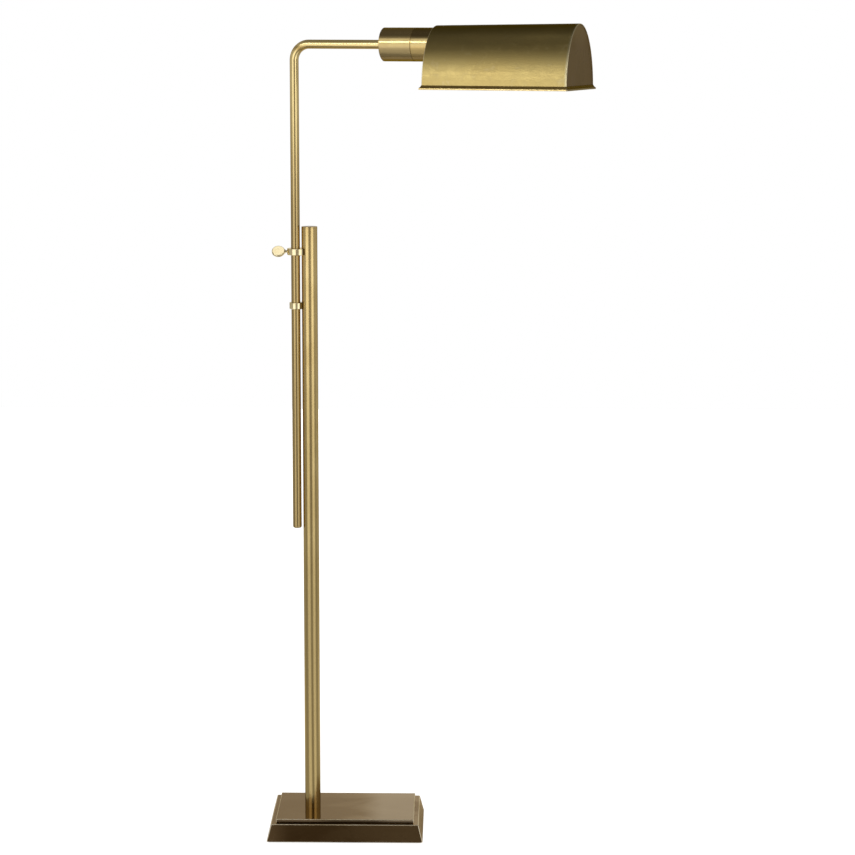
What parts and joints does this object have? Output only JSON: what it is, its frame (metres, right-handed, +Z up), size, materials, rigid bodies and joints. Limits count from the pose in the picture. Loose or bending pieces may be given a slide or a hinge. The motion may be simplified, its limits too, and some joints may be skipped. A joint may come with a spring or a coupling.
{
  "type": "adjustable arm floor lamp",
  "caption": "Brass reading floor lamp: stepped weighted base, fixed pole, height-adjustable swivelling arm clamped by a thumb screw, and a half-round shade that tilts.",
  "frame": {"origin": "centre of the flat underside of the base, on the floor", "axes": "+Z up along the pole, +X to the side that the arm reaches over, -Y to the front of the lamp"},
  "size_m": [0.5206, 0.3191, 1.3174],
  "materials": {
    "aged_brass": "hand-rubbed antique brass, satin, brushed along the shade, darker at the crown",
    "pole_brass": "antique brass, satin, brushed lengthways",
    "rod_brass": "antique brass, satin, slightly browner than the pole",
    "bright_brass": "polished pale brass",
    "base_bronze": "brown bronzed brass, highly polished, rubbed bright on the edges",
    "plain_brass": "plain machined",
    "cast_iron": "as cast, painted",
    "steel": "zinc plated",
    "felt": "brown felt",
    "nylon": "natural nylon",
    "black_plastic": "moulded",
    "socket_white": "glazed, white",
    "lamp_insulation": "black glass",
    "lamp_glass": "frosted inside"
  },
  "bodies": {
    "stand": {"base_casing": "base_bronze", "base_slab": "base_bronze", "base_weight": "cast_iron", "base_bottom_plate": "steel", "base_felt": "felt", "base_plate_screws": "steel", "pole": "pole_brass", "pole_cap": "pole_brass", "pole_plug": "plain_brass", "pole_stud": "steel", "pole_washer": "steel", "pole_nut": "steel", "upper_clamp": "bright_brass", "lower_guide": "bright_brass"},
    "liner": {"guide_liner": "nylon"},
    "arm": {"arm_tube": "rod_brass", "rod_end_cap": "rod_brass", "cord_bushing": "black_plastic", "arm_end_plug": "plain_brass", "arm_nipple": "steel", "socket_cup": "aged_brass", "cup_washer": "steel", "cup_nut": "steel", "socket_bracket": "steel", "socket_screws": "steel", "socket_body": "socket_white", "socket_shell": "plain_brass", "socket_contact": "plain_brass", "lamp_tip": "plain_brass", "lamp_insulator": "lamp_insulation", "lamp_cap": "plain_brass", "bulb_envelope": "lamp_glass"},
    "shade": {"swivel_washer": "nylon", "swivel_sleeve": "plain_brass", "snap_ring": "steel", "friction_band": "nylon", "shade_neck": "aged_brass", "shade_shell": "aged_brass", "shade_inner_end": "aged_brass", "shade_outer_end": "aged_brass", "shade_rim": "aged_brass"},
    "pad": {"clamp_pad": "nylon"},
    "screw": {"thumb_screw": "bright_brass"}
  },
  "joints": [
    {"name": "rod_swivel", "type": "hinge", "parent": "stand", "child": "liner", "pos_m": [-0.07845, 0, 0.8692], "axis": [0, 0, 1], "continuous": true},
    {"name": "rod_slide", "type": "slide", "parent": "liner", "child": "arm", "axis": [0, 0, 1], "range_m": [-0.265, 0.33]},
    {"name": "shade_tilt", "type": "hinge", "parent": "arm", "child": "shade", "pos_m": [0.11563, -0.07256, 1.2848], "axis": [0.9367, -0.3502, 0], "continuous": true},
    {"name": "pad_slide", "type": "slide", "parent": "stand", "child": "pad", "axis": [-1, 0, 0], "range_m": [0, 0.0012]},
    {"name": "screw_turn", "type": "hinge", "parent": "pad", "child": "screw", "pos_m": [-0.10595, 0, 0.9562], "axis": [-1, 0, 0], "range_deg": [0, 540]}
  ],
  "couplings": [
    {"joint": "screw_turn", "follows": "pad_slide", "rad_per_m": 7854}
  ]
}
